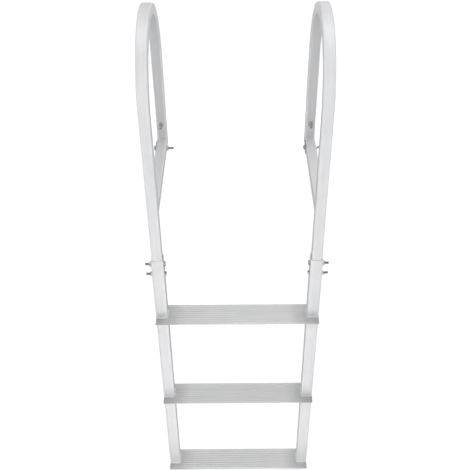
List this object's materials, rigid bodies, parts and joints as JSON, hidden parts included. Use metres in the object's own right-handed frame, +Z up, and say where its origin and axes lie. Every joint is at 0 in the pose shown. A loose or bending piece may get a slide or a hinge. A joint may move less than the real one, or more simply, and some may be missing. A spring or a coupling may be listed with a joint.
{
  "type": "dock ladder",
  "caption": "Square-tube dock ladder: arched handrails bolted into lower rails with ribbed flat steps, and level tubes that rest on the dock.",
  "frame": {"origin": "centre of the flat underside of the left deck tube, at the dock's surface", "axes": "+Z up, +Y from the water in over the dock, +X from the left side unit to the right one"},
  "size_m": [0.4435, 0.3684, 1.3774],
  "materials": {
    "rail_aluminium": "satin anodised tube with fine drawn lines",
    "handrail_aluminium": "satin anodised tube with fine drawn lines",
    "tread_aluminium": "mill finish extrusion with long ribs",
    "stainless_steel": "plain stainless fasteners",
    "connector_plastic": "black moulded nylon",
    "plug_plastic": "black moulded plug"
  },
  "bodies": {
    "root": {"left_lower_rail": "rail_aluminium", "left_handrail": "handrail_aluminium", "left_deck_tube": "handrail_aluminium", "left_corner_connector": "connector_plastic", "left_foot_plug": "plug_plastic", "left_deck_plate": "stainless_steel", "left_upper_rail_bolt": "stainless_steel", "left_upper_rail_nut": "stainless_steel", "left_lower_rail_bolt": "stainless_steel", "left_lower_rail_nut": "stainless_steel", "left_deck_bolt": "stainless_steel", "left_deck_nut": "stainless_steel", "left_leg_bolt": "stainless_steel", "left_leg_nut": "stainless_steel", "right_lower_rail": "rail_aluminium", "right_handrail": "handrail_aluminium", "right_deck_tube": "handrail_aluminium", "right_corner_connector": "connector_plastic", "right_foot_plug": "plug_plastic", "right_deck_plate": "stainless_steel", "right_upper_rail_bolt": "stainless_steel", "right_upper_rail_nut": "stainless_steel", "right_lower_rail_bolt": "stainless_steel", "right_lower_rail_nut": "stainless_steel", "right_deck_bolt": "stainless_steel", "right_deck_nut": "stainless_steel", "right_leg_bolt": "stainless_steel", "right_leg_nut": "stainless_steel", "top_step": "tread_aluminium", "middle_step": "tread_aluminium", "bottom_step": "tread_aluminium"}
  },
  "joints": []
}
